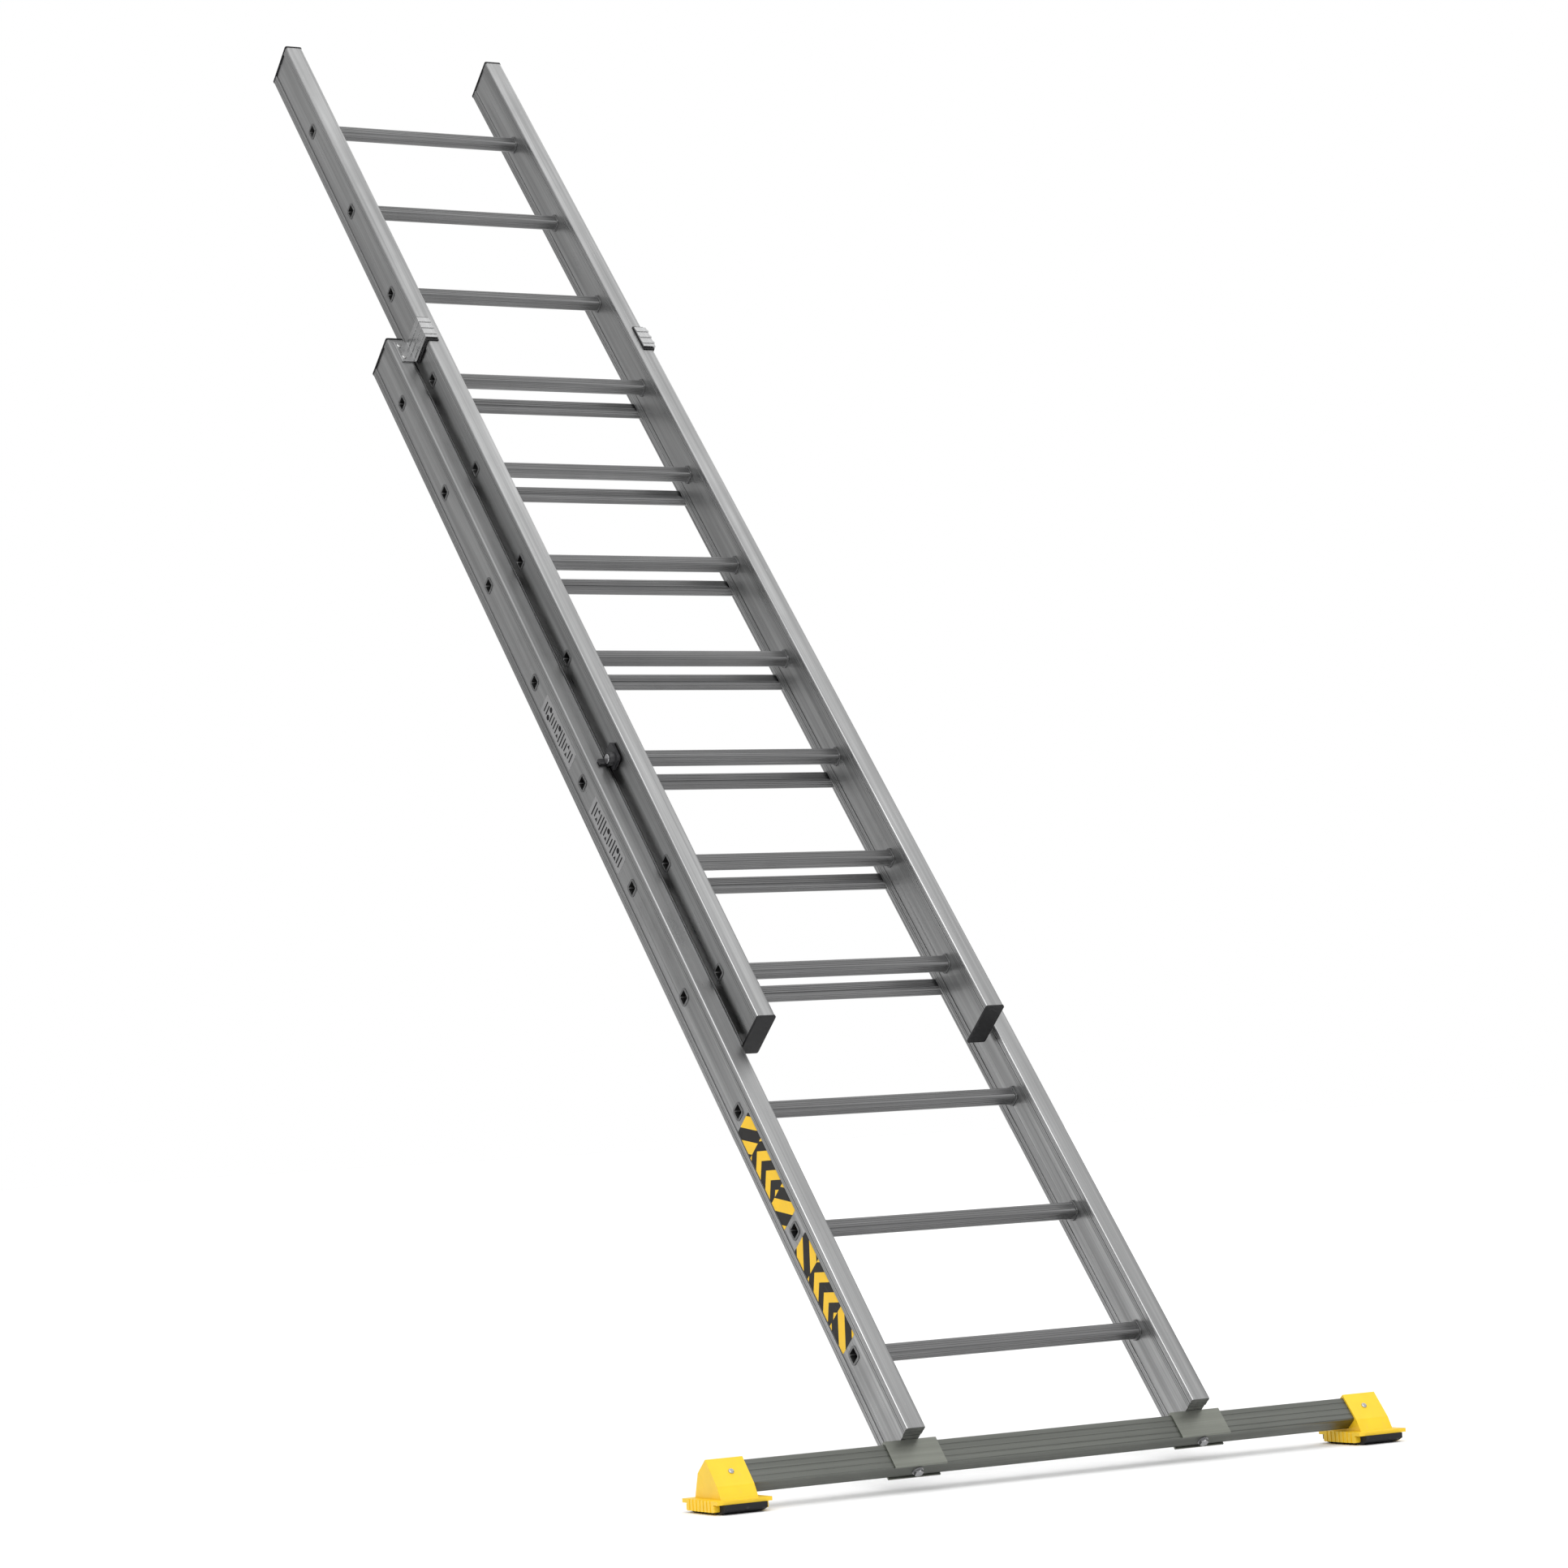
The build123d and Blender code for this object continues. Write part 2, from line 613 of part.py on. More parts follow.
def foot_rivet_plane(front):
    """The plane of the right-hand foot's rivet, this far in front of the bar's middle."""
    return front_plane(BAR_LENGTH / 2 - FOOT_SLEEVE / 2, BAR_MIDDLE, front)


def foot_sole():
    """The right-hand rubber sole: flat in the middle, turned up at both ends, with tread grooves."""
    outer_end = BAR_LENGTH / 2 + FOOT_END_WALL
    middle_x = outer_end - (FOOT_END_WALL + FOOT_SLEEVE) / 2
    middle_y = foot_centre()
    start = middle_x - SOLE_WIDTH / 2
    back = middle_y + FOOT_LENGTH / 2
    front = middle_y - FOOT_LENGTH / 2
    with BuildPart() as sole:
        with BuildSketch(floor_side_plane(start)):
            with BuildLine():
                Polyline((front, SOLE_RISE), (front, FOOT_BASE), (back, FOOT_BASE), (back, SOLE_RISE))
                TangentArc((middle_y + SOLE_FLAT / 2, 0), (back, SOLE_RISE), tangent=(1, 0))
                Line((middle_y + SOLE_FLAT / 2, 0), (middle_y - SOLE_FLAT / 2, 0))
                TangentArc((middle_y - SOLE_FLAT / 2, 0), (front, SOLE_RISE), tangent=(-1, 0))
            make_face()
        extrude(amount=SOLE_WIDTH)
        tread_pitch = SOLE_FLAT / (TREAD_COUNT - 1)
        with BuildSketch(floor_side_plane(start)):
            with Locations((middle_y, 0)):
                with GridLocations(tread_pitch, 0, TREAD_COUNT, 1):
                    Rectangle(TREAD_GROOVE, 2 * TREAD_SINK)
        extrude(amount=SOLE_WIDTH, mode=Mode.SUBTRACT)
    return sole.part


def label(up, length, width):
    """A thin label in the sunk panel on the left base stile's outer face."""
    panel = -(BASE_OUTER - OUTER_PANEL_SINK)
    with BuildPart() as sticker:
        with BuildSketch(side_plane(panel, up)):
            RectangleRounded(length, width, 2)
        extrude(amount=-LABEL_THICKNESS)
    return sticker.part


def rung_middle(number):
    """Halfway between base rung number and the one above it, counted from the lowest rung as 1."""
    return BASE_BELOW + (number - 0.5) * PITCH


os.makedirs("parts", exist_ok=True)

save_pair(base_stile(), "base_stile")
save_pair(stile(FLY_INNER, FLY_BOTTOM, FLY_LENGTH, FLY_FIRST_RUNG, FLY_FORWARD), "fly_stile")
for number in range(RUNG_COUNT):
    save(rung(BASE_BELOW + number * PITCH, 0, BASE_INNER), f"base_rung_{number + 1:02d}")
    save(rung(FLY_FIRST_RUNG + number * PITCH, FLY_FORWARD, FLY_INNER), f"fly_rung_{number + 1:02d}")

save_pair(end_cap(BASE_INNER, BASE_LENGTH, 0, 1), "base_top_cap")
save_pair(end_cap(FLY_INNER, FLY_BOTTOM + FLY_LENGTH, FLY_FORWARD, 1), "fly_top_cap")
save_pair(end_cap(FLY_INNER, FLY_BOTTOM, FLY_FORWARD, -1), "fly_bottom_cap")

save_pair(guide_bracket(), "guide_bracket")
save_pair(guide_liner(), "guide_liner")
save(both_sides(guide_rivets()), "guide_rivets")
save_pair(glide_pad(), "glide_pad")

save_pair(hook(), "rung_hook")
save_pair(hook_pin(), "hook_pin")

save(stabiliser_bar(), "stabiliser_bar")
save_pair(saddle(), "stabiliser_saddle")
save_pair(stile_insert(), "stile_insert")
save(both_sides(bolt()), "stabiliser_bolts")
save(both_sides(washer()), "stabiliser_washers")

save_pair(foot_cap(), "foot_cap")
save_pair(foot_sole(), "foot_sole")
save(both_sides(dome_rivet(foot_rivet_plane(BAR_DEPTH / 2 + FOOT_WALL), FOOT_WALL)), "foot_rivets")

save(label(rung_middle(2), HAZARD_LABEL_LENGTH, LABEL_WIDTH), "hazard_label_upper")
save(label(rung_middle(1), HAZARD_LABEL_LENGTH, LABEL_WIDTH), "hazard_label_lower")
save(label(rung_middle(6), INFO_LABEL_LENGTH, INFO_LABEL_WIDTH), "info_label_upper")
save(label(rung_middle(5), INFO_LABEL_LENGTH, INFO_LABEL_WIDTH), "info_label_lower")
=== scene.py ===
import functools
import json
import math
import random

import bmesh
import bpy
from mathutils import Matrix, Vector


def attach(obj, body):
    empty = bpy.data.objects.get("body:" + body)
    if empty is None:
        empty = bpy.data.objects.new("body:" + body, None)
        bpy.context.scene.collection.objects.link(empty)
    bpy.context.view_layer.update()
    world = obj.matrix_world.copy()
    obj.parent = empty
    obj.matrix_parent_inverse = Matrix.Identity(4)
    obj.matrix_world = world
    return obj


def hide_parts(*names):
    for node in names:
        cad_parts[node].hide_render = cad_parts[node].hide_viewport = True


# A two-section aluminium extension ladder, leaning back towards +Y with its feet on the floor.
# Metres, in the CAD frame: X runs along the rungs, UP along the stiles, FRONT towards the climber.

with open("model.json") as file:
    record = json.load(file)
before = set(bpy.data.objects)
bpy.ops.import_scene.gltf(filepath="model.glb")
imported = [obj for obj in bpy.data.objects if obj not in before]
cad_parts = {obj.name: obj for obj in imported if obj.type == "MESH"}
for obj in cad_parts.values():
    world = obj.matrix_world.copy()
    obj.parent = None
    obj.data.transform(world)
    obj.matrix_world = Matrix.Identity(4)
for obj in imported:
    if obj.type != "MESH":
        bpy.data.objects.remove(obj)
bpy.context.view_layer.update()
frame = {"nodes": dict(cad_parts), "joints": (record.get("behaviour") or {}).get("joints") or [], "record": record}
nodes = frame["nodes"]

RIGHT = Vector((1, 0, 0))
UP = Vector(next(joint["axis"] for joint in frame["joints"] if joint["name"] == "fly_slide")).normalized()
FRONT = RIGHT.cross(UP)
LEAN = math.atan2(UP.z, UP.y)
MM = 0.001


# ---------------------------------------------------------------- node helpers


def new_material(name):
    """An empty procedural material: returns it with its node tree and its main shader."""
    material = bpy.data.materials.new(name)
    material.use_nodes = True
    tree = material.node_tree
    return material, tree, tree.nodes["Principled BSDF"]


def ladder_space(tree, stretch):
    """Object coordinates turned to (x, up the stiles, to the front) and stretched on each axis."""
    place = tree.nodes.new("ShaderNodeTexCoord")
    turn = tree.nodes.new("ShaderNodeMapping")
    turn.inputs["Rotation"].default_value = (-LEAN, 0, 0)
    scale = tree.nodes.new("ShaderNodeMapping")
    scale.inputs["Scale"].default_value = stretch
    tree.links.new(place.outputs["Object"], turn.inputs["Vector"])
    tree.links.new(turn.outputs["Vector"], scale.inputs["Vector"])
    return scale.outputs["Vector"]


def noise(tree, stretch, detail=3.0, rough=0.55):
    """Noise with its own grain size on each axis, in cells per metre."""
    texture = tree.nodes.new("ShaderNodeTexNoise")
    texture.inputs["Scale"].default_value = 1.0
    texture.inputs["Detail"].default_value = detail
    texture.inputs["Roughness"].default_value = rough
    tree.links.new(ladder_space(tree, stretch), texture.inputs["Vector"])
    return texture.outputs["Fac"]


def ranged(tree, value, low, high, start=0.3, end=0.7):
    """Spreads value's start to end over low to high, and holds it there beyond them."""
    spread = tree.nodes.new("ShaderNodeMapRange")
    spread.inputs["From Min"].default_value = start
    spread.inputs["From Max"].default_value = end
    spread.inputs["To Min"].default_value = low
    spread.inputs["To Max"].default_value = high
    tree.links.new(value, spread.inputs["Value"])
    return spread.outputs["Result"]


def blended(tree, factor, first, second):
    """A colour from first to second; each is a colour or another node's output."""
    mix = tree.nodes.new("ShaderNodeMix")
    mix.data_type = "RGBA"
    tree.links.new(factor, mix.inputs["Factor"])
    for socket, colour in ((mix.inputs[6], first), (mix.inputs[7], second)):
        if isinstance(colour, bpy.types.NodeSocket):
            tree.links.new(colour, socket)
        else:
            socket.default_value = (*colour, 1)
    return mix.outputs[2]


def worked_out(tree, operation, value, *others):
    """A Math node's result; value is another node's output, and each of others is one or a number."""
    sum_node = tree.nodes.new("ShaderNodeMath")
    sum_node.operation = operation
    tree.links.new(value, sum_node.inputs[0])
    for socket, other in zip(sum_node.inputs[1:], others):
        if isinstance(other, bpy.types.NodeSocket):
            tree.links.new(other, socket)
        else:
            socket.default_value = other
    return sum_node.outputs[0]


def bumped(tree, shader, height, distance, strength):
    """Raises the surface by height, up to distance in metres."""
    bump = tree.nodes.new("ShaderNodeBump")
    bump.inputs["Strength"].default_value = strength
    bump.inputs["Distance"].default_value = distance
    tree.links.new(height, bump.inputs["Height"])
    tree.links.new(bump.outputs["Normal"], shader.inputs["Normal"])


def span(node, axis):
    """The lowest and highest place of a node along axis."""
    places = [vertex.co.dot(axis) for vertex in nodes[node].data.vertices]
    return min(places), max(places)


def groove_shade_mask(tree, middle):
    """1 on the lines of painted shade that run up a stile in the grooves beside its sunk panels, and 0 elsewhere.
    """
    parts = tree.nodes.new("ShaderNodeSeparateXYZ")
    tree.links.new(ladder_space(tree, (1, 1, 1)), parts.inputs["Vector"])
    offset = worked_out(tree, "SUBTRACT", parts.outputs["Z"], middle)
    distance = worked_out(tree, "ABSOLUTE", offset)
    lines = [
        worked_out(tree, "COMPARE", distance, place * MM, half_width * MM)
        for place, half_width in GROOVE_SHADE_LINES
    ]
    return functools.reduce(lambda total, line: worked_out(tree, "ADD", total, line), lines)


def shade(colour, factor):
    """The colour with each channel multiplied by factor."""
    return tuple(channel * factor for channel in colour)


# ------------------------------------------------------------------- materials

# Painted shade in the grooves beside a stile's sunk panels, drawn as dark lines.
GROOVE_SHADE_LINES = ((25.2, 0.9), (30, 0.5), (34, 0.8), (38.5, 0.4))  # place from the middle and half width, mm
LINE_GRAIN = (2.2, 330)  # noise cells per metre along the extrusion and across it: fine lines,
BAND_GRAIN = (1.3, 66)  # broad bands,
SCUFF_GRAIN = (30, 198)  # and small scuffs
CLOUD_GRAIN = 9
MOTTLE_GRAIN = 28
WEAR_GRAIN = (120, 40, 120)
ALLOY_RELIEF = 0.12 * MM
PLASTIC_RELIEF = 0.06 * MM
RUBBER_RELIEF = 0.1 * MM
LABEL_RELIEF = 0.01 * MM


def extruded(grain, along, across):
    """Noise cells per metre on each axis, for a grain that runs along the rungs (x) or the stiles (up)."""
    return (along, across, across) if grain == "x" else (across, along, across)


def alloy(name, colour, roughness, grain, streak=0.12, scuffs=0.5, groove_shaded_node=None):
    """Mill-finish aluminium: die lines along the extrusion, faint clouds, small pale scuffs, and on a stile
    painted shade in the grooves beside its sunk panels.
    """
    material, tree, shader = new_material(name)
    lines = noise(tree, extruded(grain, *LINE_GRAIN), detail=4)
    bands = noise(tree, extruded(grain, *BAND_GRAIN), detail=2)
    clouds = noise(tree, (CLOUD_GRAIN, CLOUD_GRAIN, CLOUD_GRAIN), detail=3)
    marks = noise(tree, extruded(grain, *SCUFF_GRAIN), detail=5, rough=0.7)
    tone = blended(tree, ranged(tree, bands, 0, 1), shade(colour, 1 - streak), shade(colour, 1 + streak))
    tone = blended(tree, ranged(tree, lines, 0, 0.5), tone, shade(colour, 1 - 1.6 * streak))
    cloudy = ranged(tree, clouds, 0, 0.35, start=0.45, end=0.75)
    tone = blended(tree, cloudy, tone, shade(colour, 0.8))
    scuffed = ranged(tree, marks, 0, scuffs, start=0.66, end=0.74)
    tone = blended(tree, scuffed, tone, shade(colour, 1.3))
    # Painted shade: dark lines in the grooves beside a stile's sunk panels.
    if groove_shaded_node:
        middle = sum(span(groove_shaded_node, FRONT)) / 2
        shaded_grooves = ranged(tree, groove_shade_mask(tree, middle), 0, 0.75, start=0, end=1)
        tone = blended(tree, shaded_grooves, tone, shade(colour, 0.3))
    tree.links.new(tone, shader.inputs["Base Color"])
    shader.inputs["Metallic"].default_value = 1.0
    fine_gloss = ranged(tree, lines, roughness - 0.06, roughness + 0.06)
    broad_gloss = ranged(tree, clouds, -0.03, 0.08, start=0.35, end=0.7)
    rough = worked_out(tree, "ADD", fine_gloss, broad_gloss)
    tree.links.new(rough, shader.inputs["Roughness"])
    bumped(tree, shader, lines, ALLOY_RELIEF, 0.5)
    return material


def moulded(name, colour, roughness, grain=900, tone=0.12, depth=PLASTIC_RELIEF, specular=0.5):
    """Moulded plastic or rubber: a fine spark-eroded grain, slight mottling and handling marks."""
    material, tree, shader = new_material(name)
    fine = noise(tree, (grain, grain, grain), detail=2)
    mottle = noise(tree, (MOTTLE_GRAIN, MOTTLE_GRAIN, MOTTLE_GRAIN), detail=4)
    wear = noise(tree, WEAR_GRAIN, detail=5, rough=0.7)
    base = blended(tree, ranged(tree, mottle, 0, 1), shade(colour, 1 - tone), shade(colour, 1 + tone))
    dusty = tuple(channel * 0.8 + 0.05 for channel in colour)
    worn = ranged(tree, wear, 0, 0.55, start=0.58, end=0.72)
    base = blended(tree, worn, base, dusty)
    tree.links.new(base, shader.inputs["Base Color"])
    skin_gloss = ranged(tree, mottle, roughness - 0.05, roughness + 0.07)
    worn_gloss = ranged(tree, wear, 0, 0.12, start=0.5, end=0.7)
    rough = worked_out(tree, "ADD", skin_gloss, worn_gloss)
    tree.links.new(rough, shader.inputs["Roughness"])
    shader.inputs["Specular IOR Level"].default_value = specular
    bumped(tree, shader, fine, depth, 0.6)
    return material


def printed(name, colour, roughness, tone, specular):
    """A smooth label film or its ink."""
    return moulded(name, colour, roughness, tone=tone, depth=LABEL_RELIEF, specular=specular)


def make_materials():
    """The materials of the CAD nodes, and the inks of the labels."""
    stile = (0.37, 0.372, 0.373)
    return {
        # The stiles carry painted shade in the grooves beside their sunk panels.
        "base_stile": alloy("base_stile", stile, 0.33, "up", 0.28, 0.6, groove_shaded_node="base_stile_left"),
        "fly_stile": alloy("fly_stile", stile, 0.33, "up", 0.28, 0.6, groove_shaded_node="fly_stile_left"),
        "rung_alloy": alloy("rung_alloy", (0.2, 0.201, 0.202), 0.36, "x", streak=0.2, scuffs=0.7),
        "bar_alloy": alloy("bar_alloy", (0.17, 0.177, 0.162), 0.42, "x", streak=0.12, scuffs=0.3),
        "stabiliser_saddle": alloy("stabiliser_saddle", (0.25, 0.26, 0.23), 0.36, "x", streak=0.14),
        "bracket_alloy": alloy("bracket_alloy", (0.46, 0.462, 0.464), 0.27, "up", streak=0.12),
        "rivet_alloy": alloy("rivet_alloy", (0.5, 0.5, 0.5), 0.25, "up", streak=0.05),
        "steel": alloy("steel", (0.42, 0.42, 0.43), 0.3, "up", streak=0.05),
        "cap_plastic": moulded("cap_plastic", (0.01, 0.01, 0.011), 0.5, specular=0.3),
        "hook_plastic": moulded("hook_plastic", (0.02, 0.02, 0.022), 0.38),
        "foot_plastic": moulded("foot_plastic", (0.86, 0.56, 0.016), 0.34, tone=0.05),
        "rubber": moulded(
            "rubber", (0.012, 0.012, 0.014), 0.62, grain=600, depth=RUBBER_RELIEF, specular=0.3
        ),
        "label_black": printed("label_black", (0.01, 0.009, 0.008), 0.4, 0.12, 0.2),
        "label_yellow": printed("label_yellow", (0.85, 0.52, 0.015), 0.35, 0.05, 0.3),
        "label_silver": printed("label_silver", (0.24, 0.24, 0.242), 0.4, 0.06, 0.3),
        "label_grey": printed("label_grey", (0.012, 0.012, 0.013), 0.6, 0.12, 0.1),
    }


def material_name(node, slot):
    """The material of a CAD node: its own where it has one, and otherwise that of its slot in the record."""
    for start in ("base_stile", "fly_stile", "stabiliser_saddle"):
        if node.startswith(start):
            return start
    return "base_stile" if slot == "stile_alloy" else slot


def dress_cad_nodes(materials):
    """Gives every CAD node its material, apart from the labels, which printed ones replace."""
    for row in frame["record"]["subparts"]:
        name = material_name(row["node"], row["material_slot"])
        if name in materials:
            data = nodes[row["node"]].data
            data.materials.clear()
            data.materials.append(materials[name])


# ------------------------------------------------------------------ soft edges

WELD_DISTANCE = 0.01 * MM
SHARP_ANGLE = 40
EDGE_ROUNDS = {  # millimetres, by the start of the node's name
    "base_stile": 0.5,
    "fly_stile": 0.5,
    "base_rung": 0.35,
    "fly_rung": 0.35,
    "guide_bracket": 0.5,
    "guide_liner": 0.3,
    "glide_pad": 0.5,
    "rung_hook": 0.8,
    "stabiliser_bar": 0.5,
    "stabiliser_saddle": 0.6,
    "stabiliser_bolts": 0.4,
    "foot_cap": 1.1,
    "foot_sole": 0.9,
}


def round_edges():
    """Breaks the sharp edges of the CAD nodes, so that they catch the light."""
    for name, node in nodes.items():
        for start, width in EDGE_ROUNDS.items():
            if not name.startswith(start):
                continue
            weld = node.modifiers.new("weld", "WELD")
            weld.merge_threshold = WELD_DISTANCE
            bevel = node.modifiers.new("bevel", "BEVEL")
            bevel.width = width * MM
            bevel.segments = 2
            bevel.limit_method = "ANGLE"
            bevel.angle_limit = math.radians(SHARP_ANGLE)
            bevel.use_clamp_overlap = True
            bevel.harden_normals = True


# ---------------------------------------------------------------------- labels

LABEL_THICKNESS = 0.3 * MM
LABEL_CORNER = 2 * MM
CORNER_STEPS = 6
HAZARD_END = 0.27  # of the length, at each end, holds bands
BAND_PITCH = 0.62  # of the width
CHEVRON_PITCH = 0.42  # of the width
BAND_SLOPE = 1.1
CHEVRON_SLOPE = 0.8
INFO_ROWS = 15
INFO_LENGTH = 0.86  # of the length holds rows
INFO_REACH = (0.22, 0.4)  # of the width, from the middle to a bar's end
INFO_BAR_HALF = 1.8 * MM
INFO_MARK_PLACE = 0.22  # of the width, from the middle
INFO_MARK_RADIUS = 0.13  # of the width
INFO_LIFT = 0.02 * MM


def label_frame(node):
    """The middle of a label's outer face, its length along UP and its width along FRONT."""
    low_up, high_up = span(node, UP)
    low_front, high_front = span(node, FRONT)
    outer = span(node, RIGHT)[0]
    middle = RIGHT * outer + UP * ((low_up + high_up) / 2) + FRONT * ((low_front + high_front) / 2)
    return middle, high_up - low_up, high_front - low_front


def label_body(mesh, length, width):
    """A thin sheet with round corners; local x runs along it, y across it, and z out of it."""
    outline = []
    for quarter, (side_x, side_y) in enumerate(((1, 1), (-1, 1), (-1, -1), (1, -1))):
        for step in range(CORNER_STEPS + 1):
            angle = math.pi / 2 * (quarter + step / CORNER_STEPS)
            x = side_x * (length / 2 - LABEL_CORNER) + LABEL_CORNER * math.cos(angle)
            y = side_y * (width / 2 - LABEL_CORNER) + LABEL_CORNER * math.sin(angle)
            outline.append(mesh.verts.new((x, y, 0)))
    top = mesh.faces.new(outline)
    result = bmesh.ops.extrude_face_region(mesh, geom=[top])
    lowered = [item for item in result["geom"] if isinstance(item, bmesh.types.BMVert)]
    bmesh.ops.translate(mesh, verts=lowered, vec=(0, 0, -LABEL_THICKNESS))


def cut(mesh, point, normal):
    """Cuts the mesh along a plane without removing anything."""
    geometry = mesh.verts[:] + mesh.edges[:] + mesh.faces[:]
    bmesh.ops.bisect_plane(mesh, geom=geometry, plane_co=point, plane_no=normal)


def hazard_print(mesh, length, width, hand):
    """Diagonal bands at both ends and chevrons between them; hand is 1 or -1 and mirrors the bands."""
    end = length * HAZARD_END
    band = width * BAND_PITCH
    chevron = width * CHEVRON_PITCH
    for side in (-1, 1):
        cut(mesh, (side * (length / 2 - end), 0, 0), (1, 0, 0))
    cut(mesh, (0, 0, 0), (0, 1, 0))
    spread = int(length / chevron)
    for slope in (-1, 1):
        for step in range(-spread, spread + 1):
            cut(mesh, (step * chevron, 0, 0), (1, slope * CHEVRON_SLOPE, 0))
    for step in range(-spread, spread + 1):
        cut(mesh, (step * band, 0, 0), (1, hand * BAND_SLOPE, 0))
    for face in mesh.faces:
        centre = face.calc_center_median()
        if abs(centre.x) > length / 2 - end:
            row = (centre.x + hand * BAND_SLOPE * centre.y) / band
        else:
            row = (centre.x + CHEVRON_SLOPE * abs(centre.y)) / chevron
        face.material_index = 1 if math.floor(row) % 2 else 0


def info_print(mesh, length, width, seed):
    """Rows of plain bars and a few dots and triangles, with no wording."""
    draw = random.Random(seed)
    for row in range(INFO_ROWS):
        x = (row / (INFO_ROWS - 1) - 0.5) * length * INFO_LENGTH
        reach = width * draw.uniform(*INFO_REACH)
        if row % 5 == 2:
            for y in (-width * INFO_MARK_PLACE, width * INFO_MARK_PLACE):
                sides = draw.choice((3, 16))
                radius = width * INFO_MARK_RADIUS
                mark = bmesh.ops.create_circle(mesh, cap_ends=True, segments=sides, radius=radius)
                bmesh.ops.translate(mesh, verts=mark["verts"], vec=(x, y, INFO_LIFT))
                for face in {face for vert in mark["verts"] for face in vert.link_faces}:
                    face.material_index = 1
        else:
            low, high = x - INFO_BAR_HALF, x + INFO_BAR_HALF
            outline = ((low, -reach), (high, -reach), (high, reach), (low, reach))
            bar = [mesh.verts.new((*corner, INFO_LIFT)) for corner in outline]
            mesh.faces.new(bar).material_index = 1


def make_label(node, slot, body_material, ink, decorate, *choices):
    """Replaces a plain CAD label with a printed one of the same size."""
    middle, length, width = label_frame(node)
    mesh = bmesh.new()
    label_body(mesh, length, width)
    decorate(mesh, length, width, *choices)
    bmesh.ops.recalc_face_normals(mesh, faces=mesh.faces)
    data = bpy.data.meshes.new(node + "_print")
    mesh.to_mesh(data)
    mesh.free()
    data.transform(Matrix.Translation(middle) @ Matrix((UP, FRONT, -RIGHT)).transposed().to_4x4())
    data.materials.append(body_material)
    data.materials.append(ink)
    piece = bpy.data.objects.new(node + "_print", data)
    bpy.context.scene.collection.objects.link(piece)
    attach(piece, "base_section")
    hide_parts(node)


def make_labels(materials):
    """The four labels on the left base stile; the last number is a mirror side or a seed."""
    black, yellow = materials["label_black"], materials["label_yellow"]
    silver, grey = materials["label_silver"], materials["label_grey"]
    make_label("hazard_label_upper", "hazard_label", black, yellow, hazard_print, 1)
    make_label("hazard_label_lower", "hazard_label", black, yellow, hazard_print, -1)
    make_label("info_label_upper", "info_label", silver, grey, info_print, 4)
    make_label("info_label_lower", "info_label", silver, grey, info_print, 9)


# -------------------------------------------------------------- stage and light

FLOOR_HALF = 60
FLOOR_TONES = ((0.9, 0.9, 0.9), (0.92, 0.92, 0.92))
HORIZON = (0.24, 0.24, 0.24)
ZENITH = (1.3, 1.3, 1.3)
BACKDROP = (1, 1, 1)


def make_floor():
    """A wide pale floor, bright enough to meet the white background without a line."""
    material, tree, shader = new_material("floor_paint")
    grain = noise(tree, (40, 40, 40), detail=2)
    tone = blended(tree, ranged(tree, grain, 0, 1), *FLOOR_TONES)
    tree.links.new(tone, shader.inputs["Base Color"])
    shader.inputs["Roughness"].default_value = 0.9
    shader.inputs["Specular IOR Level"].default_value = 0.1
    data = bpy.data.meshes.new("floor")
    corners = [(x * FLOOR_HALF, y * FLOOR_HALF, 0) for x, y in ((-1, -1), (1, -1), (1, 1), (-1, 1))]
    data.from_pydata(corners, [], [(0, 1, 2, 3)])
    data.materials.append(material)
    floor = bpy.data.objects.new("floor", data)
    bpy.context.scene.collection.objects.link(floor)


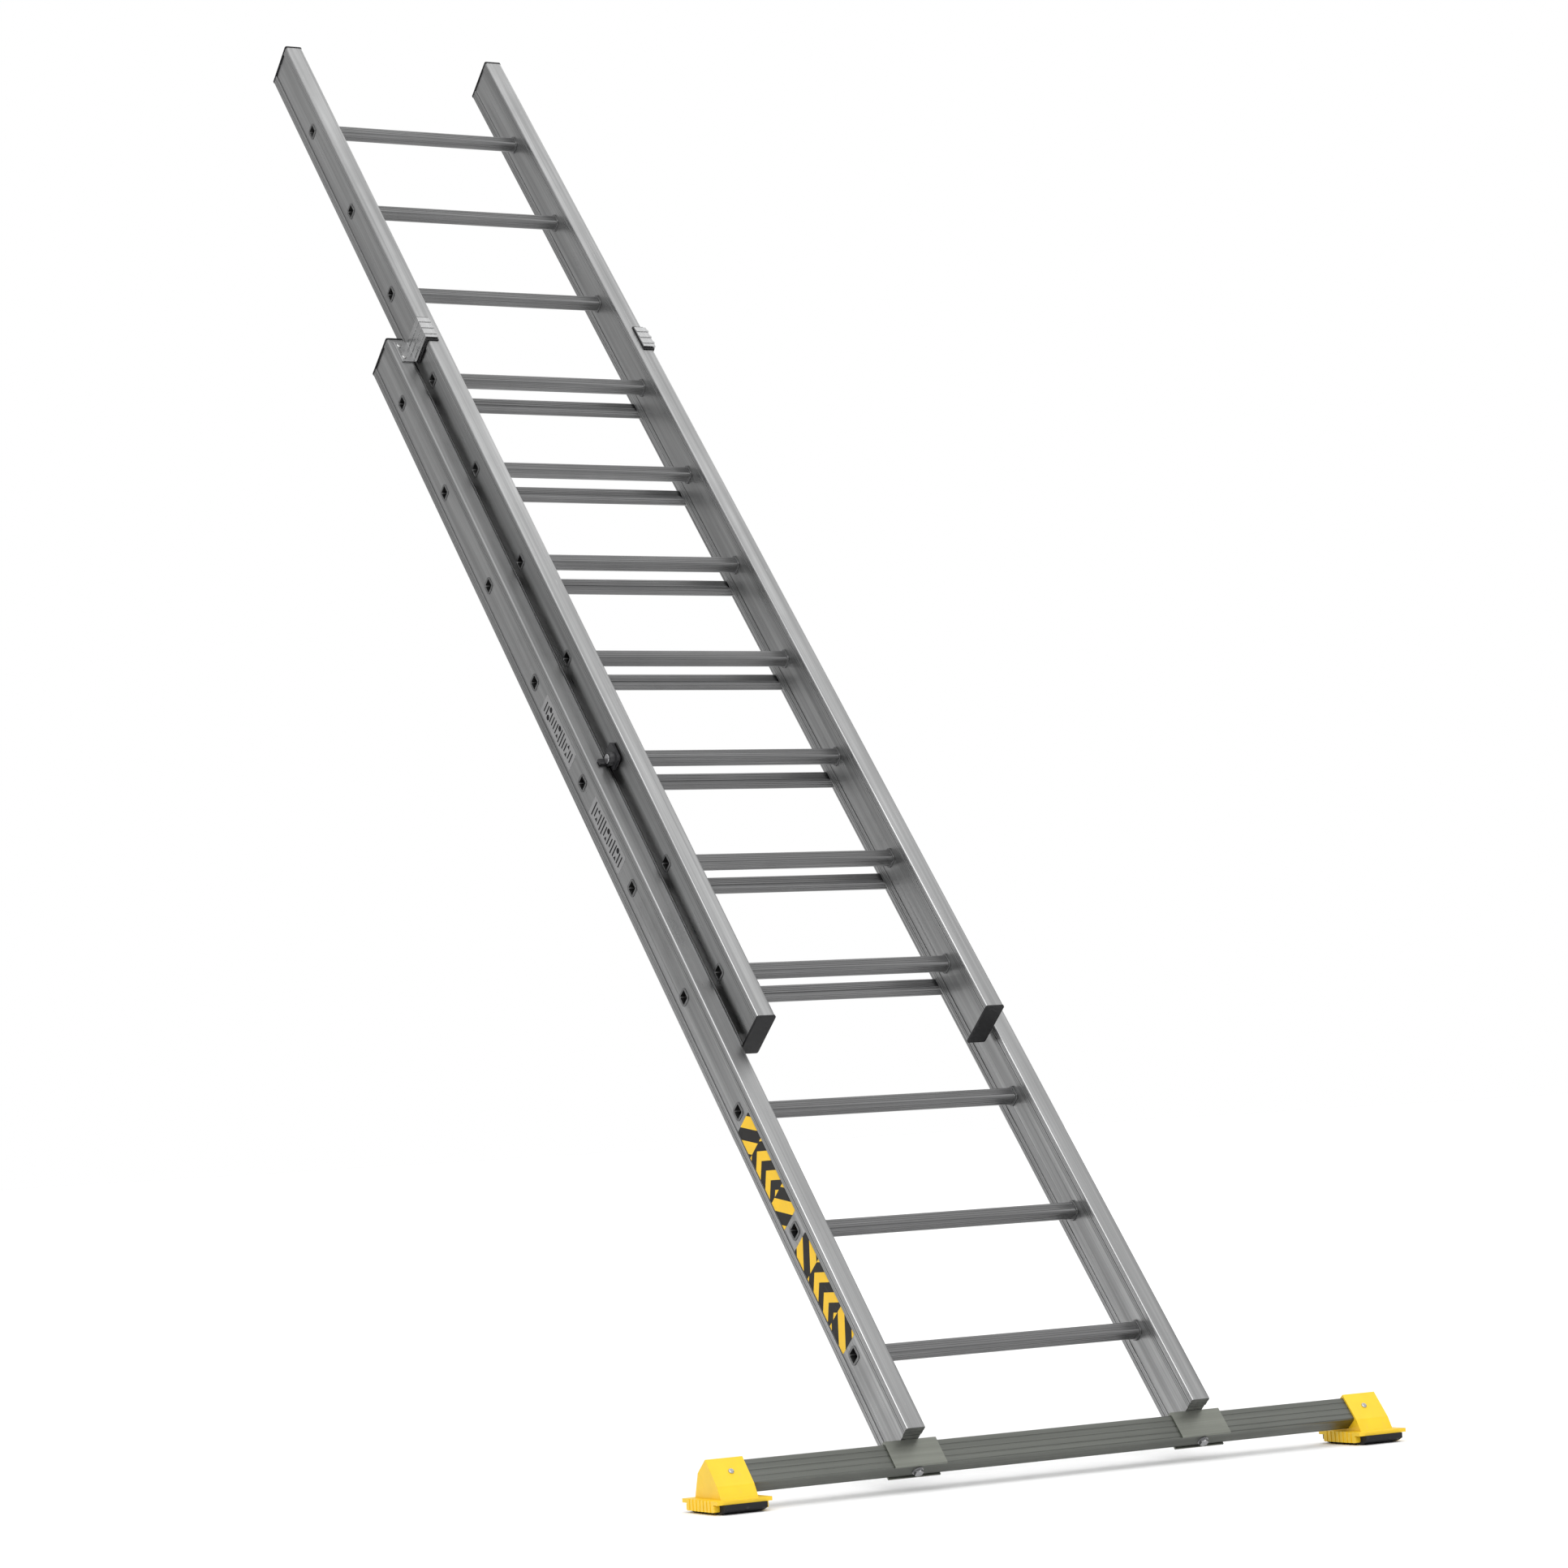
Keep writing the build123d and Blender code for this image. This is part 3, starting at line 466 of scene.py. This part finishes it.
def make_world():
    """White behind the object; a dome, brightest overhead and dim towards +X, lights it."""
    world = bpy.data.worlds.new("studio")
    world.use_nodes = True
    tree = world.node_tree
    background = tree.nodes["Background"]
    place = tree.nodes.new("ShaderNodeTexCoord")
    parts = tree.nodes.new("ShaderNodeSeparateXYZ")
    tree.links.new(place.outputs["Generated"], parts.inputs["Vector"])
    height = ranged(tree, parts.outputs["Z"], 0, 1, start=-0.1, end=0.9)
    dome = blended(tree, height, HORIZON, ZENITH)
    side = ranged(tree, parts.outputs["X"], 0, 0.6, start=0.1, end=0.9)
    dome = blended(tree, side, dome, HORIZON)
    ray = tree.nodes.new("ShaderNodeLightPath")
    seen = blended(tree, ray.outputs["Is Camera Ray"], dome, BACKDROP)
    tree.links.new(seen, background.inputs["Color"])
    background.inputs["Strength"].default_value = 1.0
    bpy.context.scene.world = world


def add_sun(name, towards, strength, spread):
    """A very soft sun that shines from the direction towards; spread is its angle in degrees."""
    lamp = bpy.data.lights.new(name, "SUN")
    lamp.energy = strength
    lamp.angle = math.radians(spread)
    sun = bpy.data.objects.new(name, lamp)
    sun.rotation_euler = Vector(towards).to_track_quat("Z", "Y").to_euler()
    bpy.context.scene.collection.objects.link(sun)


def make_lights():
    """A key from the front left, and a fill from behind on the right."""
    add_sun("key", (-0.4, -0.8, 0.9), 1.3, 50)
    add_sun("fill", (0.9, 0.5, 0.9), 0.5, 60)


# ---------------------------------------------------------------------- camera

CAMERA_PLACE = (-3.702, -5.709, 0.585)
CAMERA_AZIMUTH = 29.98  # degrees to the right of +Y
CAMERA_PITCH = 4.25  # upwards
CAMERA_ROLL = 3.26  # clockwise
CAMERA_SENSOR = 36  # millimetres
CAMERA_LENS = 100.2857  # millimetres


def make_camera():
    """The camera, low and to the left of the ladder, as the object was seen."""
    data = bpy.data.cameras.new("camera")
    data.sensor_width = CAMERA_SENSOR
    data.lens = CAMERA_LENS
    camera = bpy.data.objects.new("camera", data)
    azimuth, pitch = math.radians(CAMERA_AZIMUTH), math.radians(CAMERA_PITCH)
    level = math.cos(pitch)
    ahead = Vector((math.sin(azimuth) * level, math.cos(azimuth) * level, math.sin(pitch)))
    roll = Matrix.Rotation(math.radians(-CAMERA_ROLL), 3, "Z")
    turn = ahead.to_track_quat("-Z", "Y").to_matrix() @ roll
    camera.matrix_world = Matrix.Translation(CAMERA_PLACE) @ turn.to_4x4()
    bpy.context.scene.collection.objects.link(camera)
    bpy.context.scene.camera = camera


# ----------------------------------------------------------------------- scene

materials = make_materials()
dress_cad_nodes(materials)
round_edges()
make_labels(materials)
make_floor()
make_world()
make_lights()
make_camera()
bpy.context.scene.view_settings.view_transform = "Standard"
